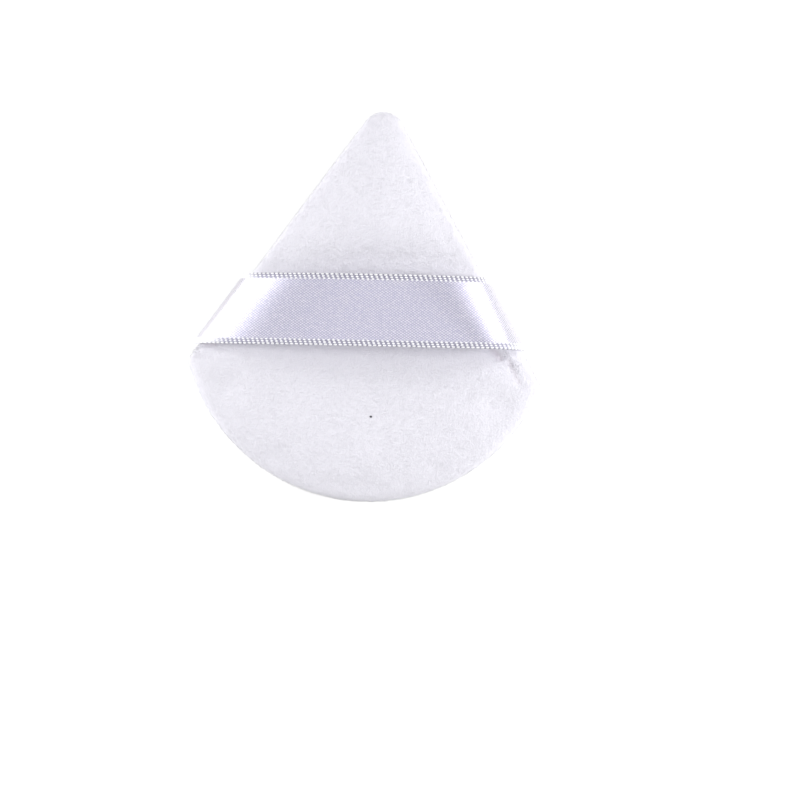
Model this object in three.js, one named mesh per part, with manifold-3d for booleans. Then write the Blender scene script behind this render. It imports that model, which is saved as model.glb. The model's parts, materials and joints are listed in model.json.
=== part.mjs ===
// Powder puff: a turned and filled velour pad in the plan of a rounded sector,
// with a satin finger ribbon whose two ends are caught in the side seam.
// It lies on its powdering face. Millimetres, +Z up, tip towards +Y, origin under
// the middle of its box.

import * as THREE from "three";
import { mergeVertices } from "three/addons/utils/BufferGeometryUtils.js";
import Module from "manifold-3d";

// Plan of the pad, seen from the ribbon side
const puffLength = 70;
const puffWidth = 63.2;
const baseDepth = 22.7;
const tipRadius = 3.8;
const cornerRadius = 1.6;

// Section of the pad, heights counted from the seam
const faceCrown = 5.5;
const backCrown = 5.5;
const restingFlatDepth = 0.5;
const rollHeight = 1.6;
const grooveDepth = 1.1;
const seamAllowance = 3.4;
const velourThickness = 1.5;
const crownReachShare = 0.8;
const crownPower = 2.6;
const crownRoundingShare = 0.9;

// Tuck line that runs round the powdering face, just inside its edge
const tuckInset = 3;
const tuckWidth = 0.8;
const tuckDepth = 0.4;

// Running gap between pieces that touch on the real puff
const clearance = 0.3;

// Satin ribbon
const ribbonWidth = 12.7;
const ribbonThickness = 0.35;
const ribbonCentreFromTip = 35.9;
const ribbonSkewDegrees = 3.25;
const ribbonEndMargin = 1;
const ribbonMouthShare = 0.55;
const leftRibbonSlack = 1;
const rightRibbonSlack = 0.6;
const fingerRoom = 4.8;
const ribbonBendRise = 0.6;
const leftRibbonRiseShare = 0.97;
const rightRibbonRiseShare = 0.63;
const leftRibbonPower = 1.5;
const rightRibbonPower = 1.7;

// Threads
const threadRadius = 0.15;
const threadInsetShare = 0.32;
const turningGapLength = 30;
const slipStitchPitch = 3;
const slipStitchInsetShare = 0.14;
const slipStitchRiseShare = 0.38;
const tackPitch = 1.2;
const tackMargin = 0.8;
const tackDepthShare = 0.4;

// One overrun serves every cut
const overrun = 3;

// Facets
const tipSteps = 7;
const sideSteps = 7;
const cornerSteps = 4;
const baseSteps = 18;
const rollSteps = 4;
const crownSteps = 11;
const liningSteps = 6;
const ribbonAcrossSteps = 4;
const ribbonBendSteps = 4;
const ribbonRiseSteps = 11;
const ribbonTopSteps = 4;
const threadSides = 6;
const stepsPerStitch = 4;

const quarterTurn = Math.PI / 2;

// Plan geometry that everything else follows

const tipCentre = new THREE.Vector2(0, puffLength / 2 - tipRadius);
const cornerCentre = new THREE.Vector2(puffWidth / 2 - cornerRadius, baseDepth - puffLength / 2);
const sideNormal = sideOutwardNormal();
const sideAngle = Math.atan2(sideNormal.y, sideNormal.x);
const baseCentre = baseArcCentre();
const baseRadius = baseCentre.y + puffLength / 2;
const baseAngle = Math.atan2(cornerCentre.y - baseCentre.y, cornerCentre.x);
const heart = padHeart();
const heartRadius = heart.y + puffLength / 2;
const seamHeight = faceCrown - restingFlatDepth;
const crownReach = heartRadius * crownReachShare;
const threadInset = grooveDepth * threadInsetShare;
const rim = rimPoints();

// The straight side touches the tip circle and the corner circle from outside.
function sideOutwardNormal() {
  const run = cornerCentre.clone().sub(tipCentre);
  const lean = (tipRadius - cornerRadius) / run.length();
  const along = run.normalize();
  const across = new THREE.Vector2(-along.y, along.x);
  return across.multiplyScalar(Math.sqrt(1 - lean * lean)).addScaledVector(along, lean);
}

// The base arc passes through the bottom of the pad and turns into both corner circles.
function baseArcCentre() {
  const bottom = puffLength / 2 - cornerRadius;
  const height = (cornerCentre.lengthSq() - bottom * bottom) / (2 * (bottom + cornerCentre.y));
  return new THREE.Vector2(0, height);
}

// The heart is as far from both sides as from the bottom of the base arc.
function padHeart() {
  const sideReach = tipCentre.dot(sideNormal) + tipRadius;
  return new THREE.Vector2(0, (sideReach - puffLength / 2) / (1 + sideNormal.y));
}

function arcPoints(centre, radius, from, to, steps) {
  const points = [];
  for (let i = 0; i < steps; i += 1) {
    const angle = from + (to - from) * i / steps;
    points.push(new THREE.Vector2(Math.cos(angle), Math.sin(angle)).multiplyScalar(radius).add(centre));
  }
  return points;
}

function linePoints(from, to, steps) {
  const points = [];
  for (let i = 0; i < steps; i += 1) {
    points.push(from.clone().lerp(to, i / steps));
  }
  return points;
}

// The outline, anticlockwise from the right corner.
function rimPoints() {
  const leftCorner = new THREE.Vector2(-cornerCentre.x, cornerCentre.y);
  const leftNormal = new THREE.Vector2(-sideNormal.x, sideNormal.y);
  const rightLow = cornerCentre.clone().addScaledVector(sideNormal, cornerRadius);
  const rightHigh = tipCentre.clone().addScaledVector(sideNormal, tipRadius);
  const leftHigh = tipCentre.clone().addScaledVector(leftNormal, tipRadius);
  const leftLow = leftCorner.clone().addScaledVector(leftNormal, cornerRadius);
  return [
    ...arcPoints(cornerCentre, cornerRadius, baseAngle, sideAngle, cornerSteps),
    ...linePoints(rightLow, rightHigh, sideSteps),
    ...arcPoints(tipCentre, tipRadius, sideAngle, Math.PI - sideAngle, tipSteps),
    ...linePoints(leftHigh, leftLow, sideSteps),
    ...arcPoints(leftCorner, cornerRadius, Math.PI - sideAngle, Math.PI - baseAngle, cornerSteps),
    ...arcPoints(baseCentre, baseRadius, Math.PI - baseAngle, 2 * Math.PI + baseAngle, baseSteps),
  ];
}

// A ring lies a given inset from the edge. Its corners grow rounder towards the heart.
function ringPoint(edge, inset) {
  const scale = 1 - inset / heartRadius;
  const spoke = edge.clone().sub(heart);
  const even = spoke.clone().setLength(heartRadius);
  spoke.lerp(even, crownRoundingShare * (1 - scale));
  return spoke.multiplyScalar(scale).add(heart);
}

// A quarter of a superellipse, upright at its foot and level at its top.
function crownCurve(from, to, power, steps) {
  const rows = [];
  for (let i = 0; i <= steps; i += 1) {
    const turn = quarterTurn * i / steps;
    const run = 1 - Math.pow(Math.max(Math.cos(turn), 0), 2 / power);
    const rise = Math.pow(Math.sin(turn), 2 / power);
    rows.push({ inset: from.inset + (to.inset - from.inset) * run, rise: from.rise + (to.rise - from.rise) * rise });
  }
  return rows;
}

// Half the height of the open seam groove, a given inset from the edge of the pad.
function grooveHalfHeight(inset) {
  const run = 1 - inset / grooveDepth;
  return rollHeight - (rollHeight - clearance / 2) * Math.sqrt(1 - run * run);
}

// The rolled edge swells out of the seam groove to the widest line of the pad.
function edgeRoll() {
  const rows = [];
  for (let i = 0; i < rollSteps; i += 1) {
    const inset = grooveDepth * (1 - Math.sin(quarterTurn * i / rollSteps));
    rows.push({ inset, rise: grooveHalfHeight(inset) });
  }
  return rows;
}

function tuckAt(inset) {
  return tuckDepth * Math.exp(-Math.pow((inset - tuckInset) / tuckWidth, 2));
}

// Closed body from rows of rings. The first and last rows close on a point over the heart.
function ringBody(rows, direction) {
  const positions = [];
  const indices = [];
  const count = rim.length;
  const place = (point, rise) => positions.push(point.x, point.y, seamHeight + direction * rise);
  place(heart, rows[0].rise);
  for (const row of rows) {
    for (const edge of rim) {
      place(ringPoint(edge, row.inset), row.rise);
    }
  }
  place(heart, rows[rows.length - 1].rise);
  const last = 1 + rows.length * count;
  for (let i = 0; i < count; i += 1) {
    const next = (i + 1) % count;
    indices.push(0, 1 + i, 1 + next);
    for (let row = 0; row + 1 < rows.length; row += 1) {
      const low = 1 + row * count;
      const high = low + count;
      indices.push(low + i, high + i, high + next, low + i, high + next, low + next);
    }
    indices.push(last, last - count + next, last - count + i);
  }
  return closedGeometry(positions, indices);
}

// Turns a body right way out by the sign of its volume.
function closedGeometry(positions, indices) {
  let volume = 0;
  const corner = (index) => new THREE.Vector3().fromArray(positions, 3 * index);
  for (let i = 0; i < indices.length; i += 3) {
    const [a, b, c] = [corner(indices[i]), corner(indices[i + 1]), corner(indices[i + 2])];
    volume += a.dot(b.cross(c));
  }
  const outward = volume < 0 ? indices.slice().reverse() : indices;
  const geometry = new THREE.BufferGeometry();
  geometry.setAttribute("position", new THREE.Float32BufferAttribute(positions, 3));
  geometry.setIndex(outward);
  return geometry;
}

// Manifold booleans

const wasm = await Module();
wasm.setup();

function toSolid(geometry) {
  const bare = geometry.clone();
  bare.deleteAttribute("normal");
  bare.deleteAttribute("uv");
  const merged = mergeVertices(bare);
  return new wasm.Manifold(new wasm.Mesh({
    numProp: 3,
    vertProperties: new Float32Array(merged.attributes.position.array),
    triVerts: new Uint32Array(merged.index.array),
  }));
}

function toGeometry(solid) {
  const mesh = solid.getMesh();
  const geometry = new THREE.BufferGeometry();
  geometry.setAttribute("position", new THREE.Float32BufferAttribute(mesh.vertProperties, 3));
  geometry.setIndex(new THREE.Uint32BufferAttribute(mesh.triVerts, 1));
  return geometry;
}

// Velour panels

// One panel runs from the middle of its lining, over the seam face, round the rolled
// edge and over the crown. The shaping adds what only one side has.
function panelRows(crown, shaping) {
  const seamFace = { inset: seamAllowance, rise: clearance / 2 };
  const liningTop = { inset: crownReach, rise: crown - velourThickness };
  const lining = crownCurve(seamFace, liningTop, crownPower, liningSteps).reverse();
  const widest = { inset: 0, rise: rollHeight };
  const outside = crownCurve(widest, { inset: crownReach, rise: crown }, crownPower, crownSteps);
  return [...lining, ...edgeRoll(), ...outside.map(shaping)];
}

function facePanel() {
  const flatRise = faceCrown - restingFlatDepth;
  const shaping = ({ inset, rise }) => ({ inset, rise: Math.min(rise - tuckAt(inset), flatRise) });
  return ringBody(panelRows(faceCrown, shaping), -1);
}

function backPanel() {
  const blank = ringBody(panelRows(backCrown, (row) => row), 1);
  let solid = toSolid(blank);
  for (const end of ribbonEnds) {
    solid = solid.subtract(toSolid(slotBody(end, -overrun, ribbonSlotTop)));
    solid = solid.subtract(toSolid(slotBody(end, grooveDepth, tackPocketTop)));
  }
  return toGeometry(solid);
}

// Foam core, cut to fill the lining
function foamCore() {
  const edge = { inset: seamAllowance + clearance, rise: 0 };
  const half = (crown) => {
    const top = { inset: crownReach, rise: crown - velourThickness - clearance };
    return crownCurve(edge, top, crownPower, liningSteps);
  };
  const under = half(faceCrown).reverse().map(({ inset, rise }) => ({ inset, rise: -rise }));
  return ringBody([...under, ...half(backCrown).slice(1)], 1);
}

// Ribbon

const ribbonSkew = THREE.MathUtils.degToRad(ribbonSkewDegrees);
const ribbonAlong = new THREE.Vector2(Math.cos(ribbonSkew), Math.sin(ribbonSkew));
const ribbonAcross = new THREE.Vector2(-ribbonAlong.y, ribbonAlong.x);
const ribbonCentre = new THREE.Vector2(0, puffLength / 2 - ribbonCentreFromTip);
const ribbonCaughtLength = seamAllowance - ribbonEndMargin;
const ribbonMouth = grooveDepth * ribbonMouthShare;
const ribbonSeamRise = threadRadius + clearance + ribbonThickness / 2;
const ribbonSlotTop = ribbonSeamRise + ribbonThickness / 2 + clearance;
const tackRise = ribbonSlotTop + threadRadius;
const tackPocketTop = tackRise + threadRadius + clearance;
const ribbonBend = rollHeight + ribbonBendRise;
const ribbonTop = backCrown + fingerRoom + ribbonThickness / 2;
const ribbonEnds = [
  {
    normal: new THREE.Vector2(-sideNormal.x, sideNormal.y),
    slack: leftRibbonSlack,
    riseShare: leftRibbonRiseShare,
    power: leftRibbonPower,
  },
  {
    normal: sideNormal.clone(),
    slack: rightRibbonSlack,
    riseShare: rightRibbonRiseShare,
    power: rightRibbonPower,
  },
];

// Where a line along the ribbon, some way across it, lies a given inset from one side.
function ribbonPoint(end, across, inset) {
  const start = ribbonCentre.clone().addScaledVector(ribbonAcross, across);
  const sideReach = tipCentre.dot(sideNormal) + tipRadius - inset;
  const run = (sideReach - start.dot(end.normal)) / ribbonAlong.dot(end.normal);
  return start.addScaledVector(ribbonAlong, run);
}

// The ribbon's rise ends a share of the way to the middle of its shorter edge.
function ribbonRiseReach(end) {
  const shortEdge = ribbonCentre.clone().addScaledVector(ribbonAcross, ribbonWidth / 2);
  const sideReach = tipCentre.dot(sideNormal) + tipRadius;
  return end.riseShare * (sideReach - shortEdge.dot(sideNormal));
}

// Middle line of one end: caught in the seam, bent round the rolled edge, then rising.
function ribbonEndCurve(end) {
  const rows = [
    { inset: ribbonCaughtLength, rise: ribbonSeamRise },
    { inset: (ribbonCaughtLength + ribbonMouth) / 2, rise: ribbonSeamRise },
  ];
  for (let i = 0; i < ribbonBendSteps; i += 1) {
    const turn = quarterTurn * i / ribbonBendSteps;
    rows.push({
      inset: ribbonMouth - (ribbonMouth + end.slack) * Math.sin(turn),
      rise: ribbonBend - (ribbonBend - ribbonSeamRise) * Math.cos(turn),
    });
  }
  const foot = { inset: -end.slack, rise: ribbonBend };
  const top = { inset: ribbonRiseReach(end), rise: ribbonTop };
  return [...rows, ...crownCurve(foot, top, end.power, ribbonRiseSteps)];
}

// Both faces of an end curve, half the ribbon's thickness to each side of it.
function ribbonFaces(rows) {
  return rows.map((row, i) => {
    const before = rows[Math.max(i - 1, 0)];
    const after = rows[Math.min(i + 1, rows.length - 1)];
    const slope = new THREE.Vector2(after.inset - before.inset, after.rise - before.rise).normalize();
    const shift = slope.multiplyScalar(ribbonThickness / 2);
    return {
      outer: { inset: row.inset - shift.y, rise: row.rise + shift.x },
      inner: { inset: row.inset + shift.y, rise: row.rise - shift.x },
    };
  });
}

// One line of points along the whole ribbon, on its outer or inner face.
function ribbonLine(across, face) {
  const place = (end) => (row) => {
    const point = ribbonPoint(end, across, row[face].inset);
    return new THREE.Vector3(point.x, point.y, seamHeight + row[face].rise);
  };
  const [left, right] = ribbonEnds.map((end) => ribbonFaces(ribbonEndCurve(end)).map(place(end)));
  const top = [];
  for (let i = 1; i < ribbonTopSteps; i += 1) {
    top.push(left[left.length - 1].clone().lerp(right[right.length - 1], i / ribbonTopSteps));
  }
  return [...left, ...top, ...right.reverse()];
}

function ribbonStrap() {
  const lines = [];
  for (let i = 0; i <= ribbonAcrossSteps; i += 1) {
    lines.push(ribbonLine(ribbonWidth * (i / ribbonAcrossSteps - 1 / 2), "outer"));
  }
  for (let i = ribbonAcrossSteps; i >= 0; i -= 1) {
    lines.push(ribbonLine(ribbonWidth * (i / ribbonAcrossSteps - 1 / 2), "inner"));
  }
  return loftBody(lines);
}

// Closed body from lines of points laid side by side round a section.
function loftBody(lines) {
  const positions = lines.flatMap((line) => line.flatMap((point) => point.toArray()));
  const length = lines[0].length;
  const around = lines.length;
  const indices = [];
  for (let i = 0; i < around; i += 1) {
    const here = i * length;
    const next = ((i + 1) % around) * length;
    for (let j = 0; j + 1 < length; j += 1) {
      indices.push(here + j, next + j, next + j + 1, here + j, next + j + 1, here + j + 1);
    }
  }
  const half = around / 2;
  for (let i = 0; i + 1 < half; i += 1) {
    const [a, b] = [i * length, (i + 1) * length];
    const [c, d] = [(around - 2 - i) * length, (around - 1 - i) * length];
    const tail = length - 1;
    indices.push(a, d, c, a, c, b);
    indices.push(a + tail, b + tail, c + tail, a + tail, c + tail, d + tail);
  }
  return closedGeometry(positions, indices);
}

// The slot that a ribbon end needs in the seam of the back panel, from an inset inwards.
function slotBody(end, fromInset, top) {
  const half = ribbonWidth / 2 + clearance;
  const toInset = ribbonCaughtLength + clearance;
  const corners = [
    ribbonPoint(end, -half, fromInset),
    ribbonPoint(end, half, fromInset),
    ribbonPoint(end, half, toInset),
    ribbonPoint(end, -half, toInset),
  ];
  const body = new THREE.ExtrudeGeometry(new THREE.Shape(corners), {
    depth: top + clearance,
    bevelEnabled: false,
  });
  return body.translate(0, 0, seamHeight - clearance);
}

// Threads

function tubeBody(points, tension) {
  const path = new THREE.CatmullRomCurve3(points, false, "catmullrom", tension);
  const section = new THREE.Shape(arcPoints(new THREE.Vector2(), threadRadius, 0, 2 * Math.PI, threadSides));
  return new THREE.ExtrudeGeometry(section, { extrudePath: path, steps: points.length - 1 });
}

// Point in the seam groove, some way along the base arc from its middle.
function baseGroovePoint(along, inset, rise) {
  const radius = baseRadius - inset;
  const angle = along / baseRadius - quarterTurn;
  return new THREE.Vector3(
    radius * Math.cos(angle),
    baseCentre.y + radius * Math.sin(angle),
    seamHeight + rise,
  );
}

// Machine seam: from one end of the turning gap, round the tip, to its other end.
function seamThread() {
  const gapHalf = turningGapLength / 2 + clearance + threadRadius;
  const arcHalf = baseRadius * (quarterTurn + baseAngle);
  const steps = Math.ceil(baseSteps / 4);
  const run = (from, to) => {
    const points = [];
    for (let i = 0; i < steps; i += 1) {
      points.push(baseGroovePoint(from + (to - from) * i / steps, threadInset, 0));
    }
    return points;
  };
  const round = rim.slice(0, rim.length - baseSteps + 1).map((edge) => {
    const point = ringPoint(edge, threadInset);
    return new THREE.Vector3(point.x, point.y, seamHeight);
  });
  return tubeBody([...run(gapHalf, arcHalf), ...round, ...run(-gapHalf, -arcHalf).reverse()], 0);
}

// Hand slip stitches that close the gap through which the cover was turned and filled.
function closingThread() {
  const count = Math.max(2, Math.round(turningGapLength / slipStitchPitch));
  const inset = grooveDepth * slipStitchInsetShare;
  const rise = grooveHalfHeight(inset) * slipStitchRiseShare;
  const points = [];
  for (let i = 0; i <= count * stepsPerStitch; i += 1) {
    const share = i / (count * stepsPerStitch);
    const wave = Math.sin(2 * Math.PI * i / stepsPerStitch);
    points.push(baseGroovePoint(turningGapLength * (share - 1 / 2), inset, rise * wave));
  }
  return tubeBody(points, 1 / 2);
}

// Zigzag basting that holds a ribbon end to the back panel before the seam is closed.
function ribbonTack(end) {
  const length = ribbonWidth - 2 * tackMargin;
  const count = Math.max(2, Math.round(length / tackPitch));
  const middle = (grooveDepth + clearance + ribbonCaughtLength) / 2;
  const swing = (ribbonCaughtLength - grooveDepth) * tackDepthShare / 2;
  const points = [];
  for (let i = 0; i <= 2 * count; i += 1) {
    const across = length * (i / (2 * count) - 1 / 2);
    const wave = Math.sin(quarterTurn * (i + 1));
    const point = ribbonPoint(end, across, middle + swing * wave);
    points.push(new THREE.Vector3(point.x, point.y, seamHeight + tackRise));
  }
  return tubeBody(points, 1 / 2);
}

// Assembly

const velour = { color: 0xe9e7ef, roughness: 0.95, metalness: 0 };
const satin = { color: 0xd2d0e0, roughness: 0.38, metalness: 0.1 };
const foam = { color: 0xf2efe6, roughness: 0.9, metalness: 0 };
const thread = { color: 0xf1eff5, roughness: 0.6, metalness: 0 };

function piece(name, geometry, finish) {
  const mesh = new THREE.Mesh(geometry, new THREE.MeshStandardMaterial(finish));
  mesh.name = name;
  return mesh;
}

const puff = new THREE.Group();
const [leftEnd, rightEnd] = ribbonEnds;
puff.add(piece("face_panel", facePanel(), velour));
puff.add(piece("back_panel", backPanel(), velour));
puff.add(piece("foam_core", foamCore(), foam));
puff.add(piece("ribbon_strap", ribbonStrap(), satin));
puff.add(piece("seam_thread", seamThread(), thread));
puff.add(piece("closing_thread", closingThread(), thread));
puff.add(piece("left_ribbon_tack", ribbonTack(leftEnd), thread));
puff.add(piece("right_ribbon_tack", ribbonTack(rightEnd), thread));

export default puff;
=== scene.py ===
import json
import math
from typing import NamedTuple

import bpy
import numpy as np
from bpy.props import FloatProperty, FloatVectorProperty, IntProperty, PointerProperty
from mathutils import Matrix, Vector
from mathutils.kdtree import KDTree

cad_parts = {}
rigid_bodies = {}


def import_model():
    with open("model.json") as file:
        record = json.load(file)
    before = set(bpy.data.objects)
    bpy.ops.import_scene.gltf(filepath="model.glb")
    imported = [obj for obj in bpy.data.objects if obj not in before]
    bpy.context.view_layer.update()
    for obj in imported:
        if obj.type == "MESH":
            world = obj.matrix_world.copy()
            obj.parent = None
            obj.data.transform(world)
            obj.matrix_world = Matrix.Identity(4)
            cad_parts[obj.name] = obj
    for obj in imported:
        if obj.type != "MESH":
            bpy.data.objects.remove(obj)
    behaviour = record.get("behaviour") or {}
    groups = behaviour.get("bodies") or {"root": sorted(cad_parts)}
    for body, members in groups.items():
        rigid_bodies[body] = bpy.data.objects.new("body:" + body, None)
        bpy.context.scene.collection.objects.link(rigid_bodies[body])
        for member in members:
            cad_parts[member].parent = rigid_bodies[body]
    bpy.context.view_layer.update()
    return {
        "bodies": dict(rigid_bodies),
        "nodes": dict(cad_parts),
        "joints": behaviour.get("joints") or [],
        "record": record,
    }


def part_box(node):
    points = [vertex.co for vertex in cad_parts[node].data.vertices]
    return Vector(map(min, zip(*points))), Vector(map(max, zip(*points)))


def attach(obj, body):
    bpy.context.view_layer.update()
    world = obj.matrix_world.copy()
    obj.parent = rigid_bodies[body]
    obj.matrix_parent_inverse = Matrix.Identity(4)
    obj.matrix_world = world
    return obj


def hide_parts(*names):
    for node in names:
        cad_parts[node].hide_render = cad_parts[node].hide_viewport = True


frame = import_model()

bl_info = {
    "name": "Powder Puff",
    "version": (1, 0, 0),
    "blender": (4, 5, 0),
    "location": "View3D > Sidebar > Puff",
    "description": "Builds a velour powder puff with a satin finger ribbon, and its studio",
    "category": "Object",
}

FACE_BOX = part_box("face_panel")
BACK_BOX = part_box("back_panel")
RIBBON_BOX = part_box("ribbon_strap")
MM = 0.001
QUARTER = math.pi / 2
# Keeps sums and lengths that are divided by above zero
TINY = 1e-9


# Sizes and colours

def length_value(name, description, default):
    return FloatProperty(name=name, description=description, default=default, unit="LENGTH")


def share_value(name, description, default):
    return FloatProperty(name=name, description=description, default=default, subtype="FACTOR")


def power_value(name, description, default):
    return FloatProperty(name=name, description=description, default=default, unit="POWER")


def angle_value(name, description, degrees):
    return FloatProperty(name=name, description=description, default=math.radians(degrees), subtype="ANGLE")


def pixel_value(name, description, default):
    return IntProperty(name=name, description=description, default=default, subtype="PIXEL")


def colour_value(name, description, default):
    return FloatVectorProperty(name=name, description=description, default=default, subtype="COLOR", size=3)


class PadSizes(bpy.types.PropertyGroup):
    """Plan and section of the velour pad"""
    length: length_value("Length", "From the tip to the bottom of the base arc",
                         BACK_BOX[1].y - BACK_BOX[0].y)
    width: length_value("Width", "Across both corners", BACK_BOX[1].x - BACK_BOX[0].x)
    base_depth: length_value("Base depth", "Bottom of the base arc below the corners", 22.7 * MM)
    tip_radius: length_value("Tip radius", "Rounding of the tip", 3.8 * MM)
    corner_radius: length_value("Corner radius", "Rounding of both corners", 1.6 * MM)
    seam_height: length_value("Seam height", "The seam above the resting plane",
                              (FACE_BOX[1].z + BACK_BOX[0].z) / 2)
    face_crown: length_value("Face crown", "Rise of the powdering face from the seam", 5.5 * MM)
    back_crown: length_value("Back crown", "Rise of the back from the seam", 5.5 * MM)
    roll_height: length_value("Roll height", "Height of the rolled edge of one panel", 1.6 * MM)
    groove_depth: length_value("Groove depth", "How far the seam lies inside the rolled edge", 1.1 * MM)
    groove_gap: length_value("Groove gap", "Space between the two panels in the seam", 0.16 * MM)
    seam_allowance: length_value("Seam allowance", "Width of the turned-in edge", 3.4 * MM)
    cloth: length_value("Cloth", "Thickness of the velour", 1.5 * MM)
    tuck_inset: length_value("Tuck inset", "The tuck line inside the edge of the face", 3 * MM)
    tuck_width: length_value("Tuck width", "Half width of the tuck line", 0.7 * MM)
    tuck_depth: length_value("Tuck depth", "Depth of the tuck line", 0.45 * MM)
    crown_power: FloatProperty(name="Crown power", description="Fullness of the crown", default=2.6)
    slimmer: length_value("Slimmer", "How much lower the crown is before the filling swells it", 0.45 * MM)
    swell: length_value("Swell", "How far the filling may move a point", 0.45 * MM)
    edge_fade: length_value("Edge fade", "Width of the edge where the seam holds the cover back", 5 * MM)
    crown_reach: share_value("Crown reach",
                             "Where the crown levels off, on the way from the edge to the heart", 0.8)
    crown_rounding: share_value("Crown rounding", "How round the inner rings grow", 0.9)
    spacing: length_value("Spacing", "Distance between points of the mesh", 0.42 * MM)
    pile: length_value("Pile", "Length of the longest tufts", 0.38 * MM)
    tuft: length_value("Tuft", "Half width of a tuft at its root", 0.038 * MM)
    lean: angle_value("Lean", "How far the tufts lean towards the base", 74)
    tufts: IntProperty(name="Tufts", description="Number of tufts on one panel", default=48000)


class RibbonSizes(bpy.types.PropertyGroup):
    """The satin finger ribbon"""
    width: length_value("Width", "Across the ribbon", 12.7 * MM)
    thickness: length_value("Thickness", "Of the satin", 0.3 * MM)
    from_tip: length_value("From tip", "The ribbon's middle below the tip", 35.9 * MM)
    skew: angle_value("Skew", "How far the ribbon turns from square across the pad", 3.25)
    caught: length_value("Caught length", "Length of each end inside the seam", 2.4 * MM)
    mouth: length_value("Mouth", "Where the ribbon leaves the seam, inside the edge", 0.6 * MM)
    seam_rise: length_value("Seam rise", "The caught end above the seam", 0.625 * MM)
    left_slack: length_value("Left slack", "How far the left end stands off the edge", 1.0 * MM)
    right_slack: length_value("Right slack", "How far the right end stands off the edge", 0.6 * MM)
    bend_rise: length_value("Bend rise", "The widest point of the bend above the rolled edge", 0.6 * MM)
    left_power: FloatProperty(name="Left power", description="Fullness of the left slope", default=1.5)
    right_power: FloatProperty(name="Right power", description="Fullness of the right slope", default=2.1)
    left_reach: length_value("Left reach", "Where the left slope levels off, in mid ribbon", 18.5 * MM)
    right_reach: length_value("Right reach", "Where the right slope levels off, in mid ribbon", 13.0 * MM)
    left_twist: length_value("Left twist", "How much less the left slope reaches at the upper edge",
                             3.0 * MM)
    right_twist: length_value("Right twist", "How much less the right slope reaches at the upper edge",
                              -9.0 * MM)
    pick: length_value("Pick", "Distance between the beads of the selvedge", 0.866 * MM)
    selvedge: length_value("Selvedge", "Width of each woven edge", 1.06 * MM)
    float_pitch: length_value("Float pitch", "Distance between binding points along the ribbon", 0.66 * MM)
    pick_pitch: length_value("Pick pitch", "Distance between binding points across the ribbon", 0.46 * MM)


class ThreadSizes(bpy.types.PropertyGroup):
    """Sewing threads"""
    radius: length_value("Radius", "Of the thread", 0.13 * MM)
    lay: length_value("Lay", "Length of half a turn of the two plies", 0.45 * MM)
    seam_inset: length_value("Seam inset", "The machine seam inside the edge", 0.352 * MM)
    turning_gap: length_value("Turning gap", "Length of the gap that the slip stitches close", 30 * MM)
    slip_pitch: length_value("Slip stitch", "Length of one slip stitch", 3 * MM)
    slip_inset: length_value("Slip inset", "The slip stitches inside the edge", 0.3 * MM)
    slip_rise: length_value("Slip rise", "How far the slip stitches rise and fall", 0.24 * MM)
    tack_pitch: length_value("Tack pitch", "Length of one zigzag of the tacks", 1.2 * MM)
    tack_margin: length_value("Tack margin", "From the end of a tack to the ribbon's edge", 0.8 * MM)
    tack_inset: length_value("Tack inset", "Middle of the tack inside the edge", 1.9 * MM)
    tack_swing: length_value("Tack swing", "Half width of the zigzag", 0.26 * MM)
    tack_rise: length_value("Tack rise", "The tack above the seam", 1.25 * MM)


class Finishes(bpy.types.PropertyGroup):
    """Colours of the cloths"""
    velour: colour_value("Velour", "Lit pile", (0.878, 0.864, 0.934))
    velour_shade: colour_value("Velour shade", "Between the tufts of the pile", (0.778, 0.765, 0.838))
    satin: colour_value("Satin", "Face of the ribbon", (0.67, 0.655, 0.7))
    satin_shade: colour_value("Satin shade", "At the binding points", (0.47, 0.46, 0.65))
    # Painted light on the bends where the ribbon turns down to the seam, lighter than the face
    satin_turn_light: colour_value("Satin turn", "Where the ribbon turns down to the seam", (0.93, 0.915, 0.98))
    selvedge: colour_value("Selvedge", "Beads of the woven edge", (0.98, 0.98, 1.0))
    # Painted shade between the beads of the woven edge
    gap: colour_value("Gap", "Between the beads of the woven edge", (0.3, 0.29, 0.38))
    thread: colour_value("Thread", "Sewing thread", (0.84, 0.82, 0.88))
    foam: colour_value("Foam", "Sponge of the core", (0.88, 0.86, 0.8))
    fleck: colour_value("Fleck", "A speck of lint on the back", (0.03, 0.03, 0.04))
    # Painted shade, deep in the folds beside the ribbon ends
    crease_shade: colour_value("Crease", "Deep in the folds beside the ribbon ends", (0.52, 0.43, 0.49))


class StudioSettings(bpy.types.PropertyGroup):
    """Light and camera"""
    world: FloatProperty(name="World", description="Strength of the light from all round", default=0.1)
    left: power_value("Left light", "Power of the left soft box", 2.8)
    right: power_value("Right light", "Power of the right soft box", 3.5)
    corner: power_value("Corner light", "Power of each upper corner soft box", 1.6)
    top: power_value("Top light", "Power of the soft box over the camera", 0.82)
    lower: power_value("Lower light", "Power of the soft box below the puff", 1.0)
    scale: FloatProperty(name="Scale", description="Pixels per metre in the picture", default=5554.0)
    roll: angle_value("Roll", "Clockwise turn of the puff in the picture", 4.5)
    tip_x: pixel_value("Tip x", "Pixel column of the tip", 385)
    tip_y: pixel_value("Tip y", "Pixel row of the tip", 113)
    frame_px: pixel_value("Frame", "Side of the square picture", 800)
    distance: length_value("Distance", "From the camera to the puff", 0.5)


# Node materials

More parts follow.
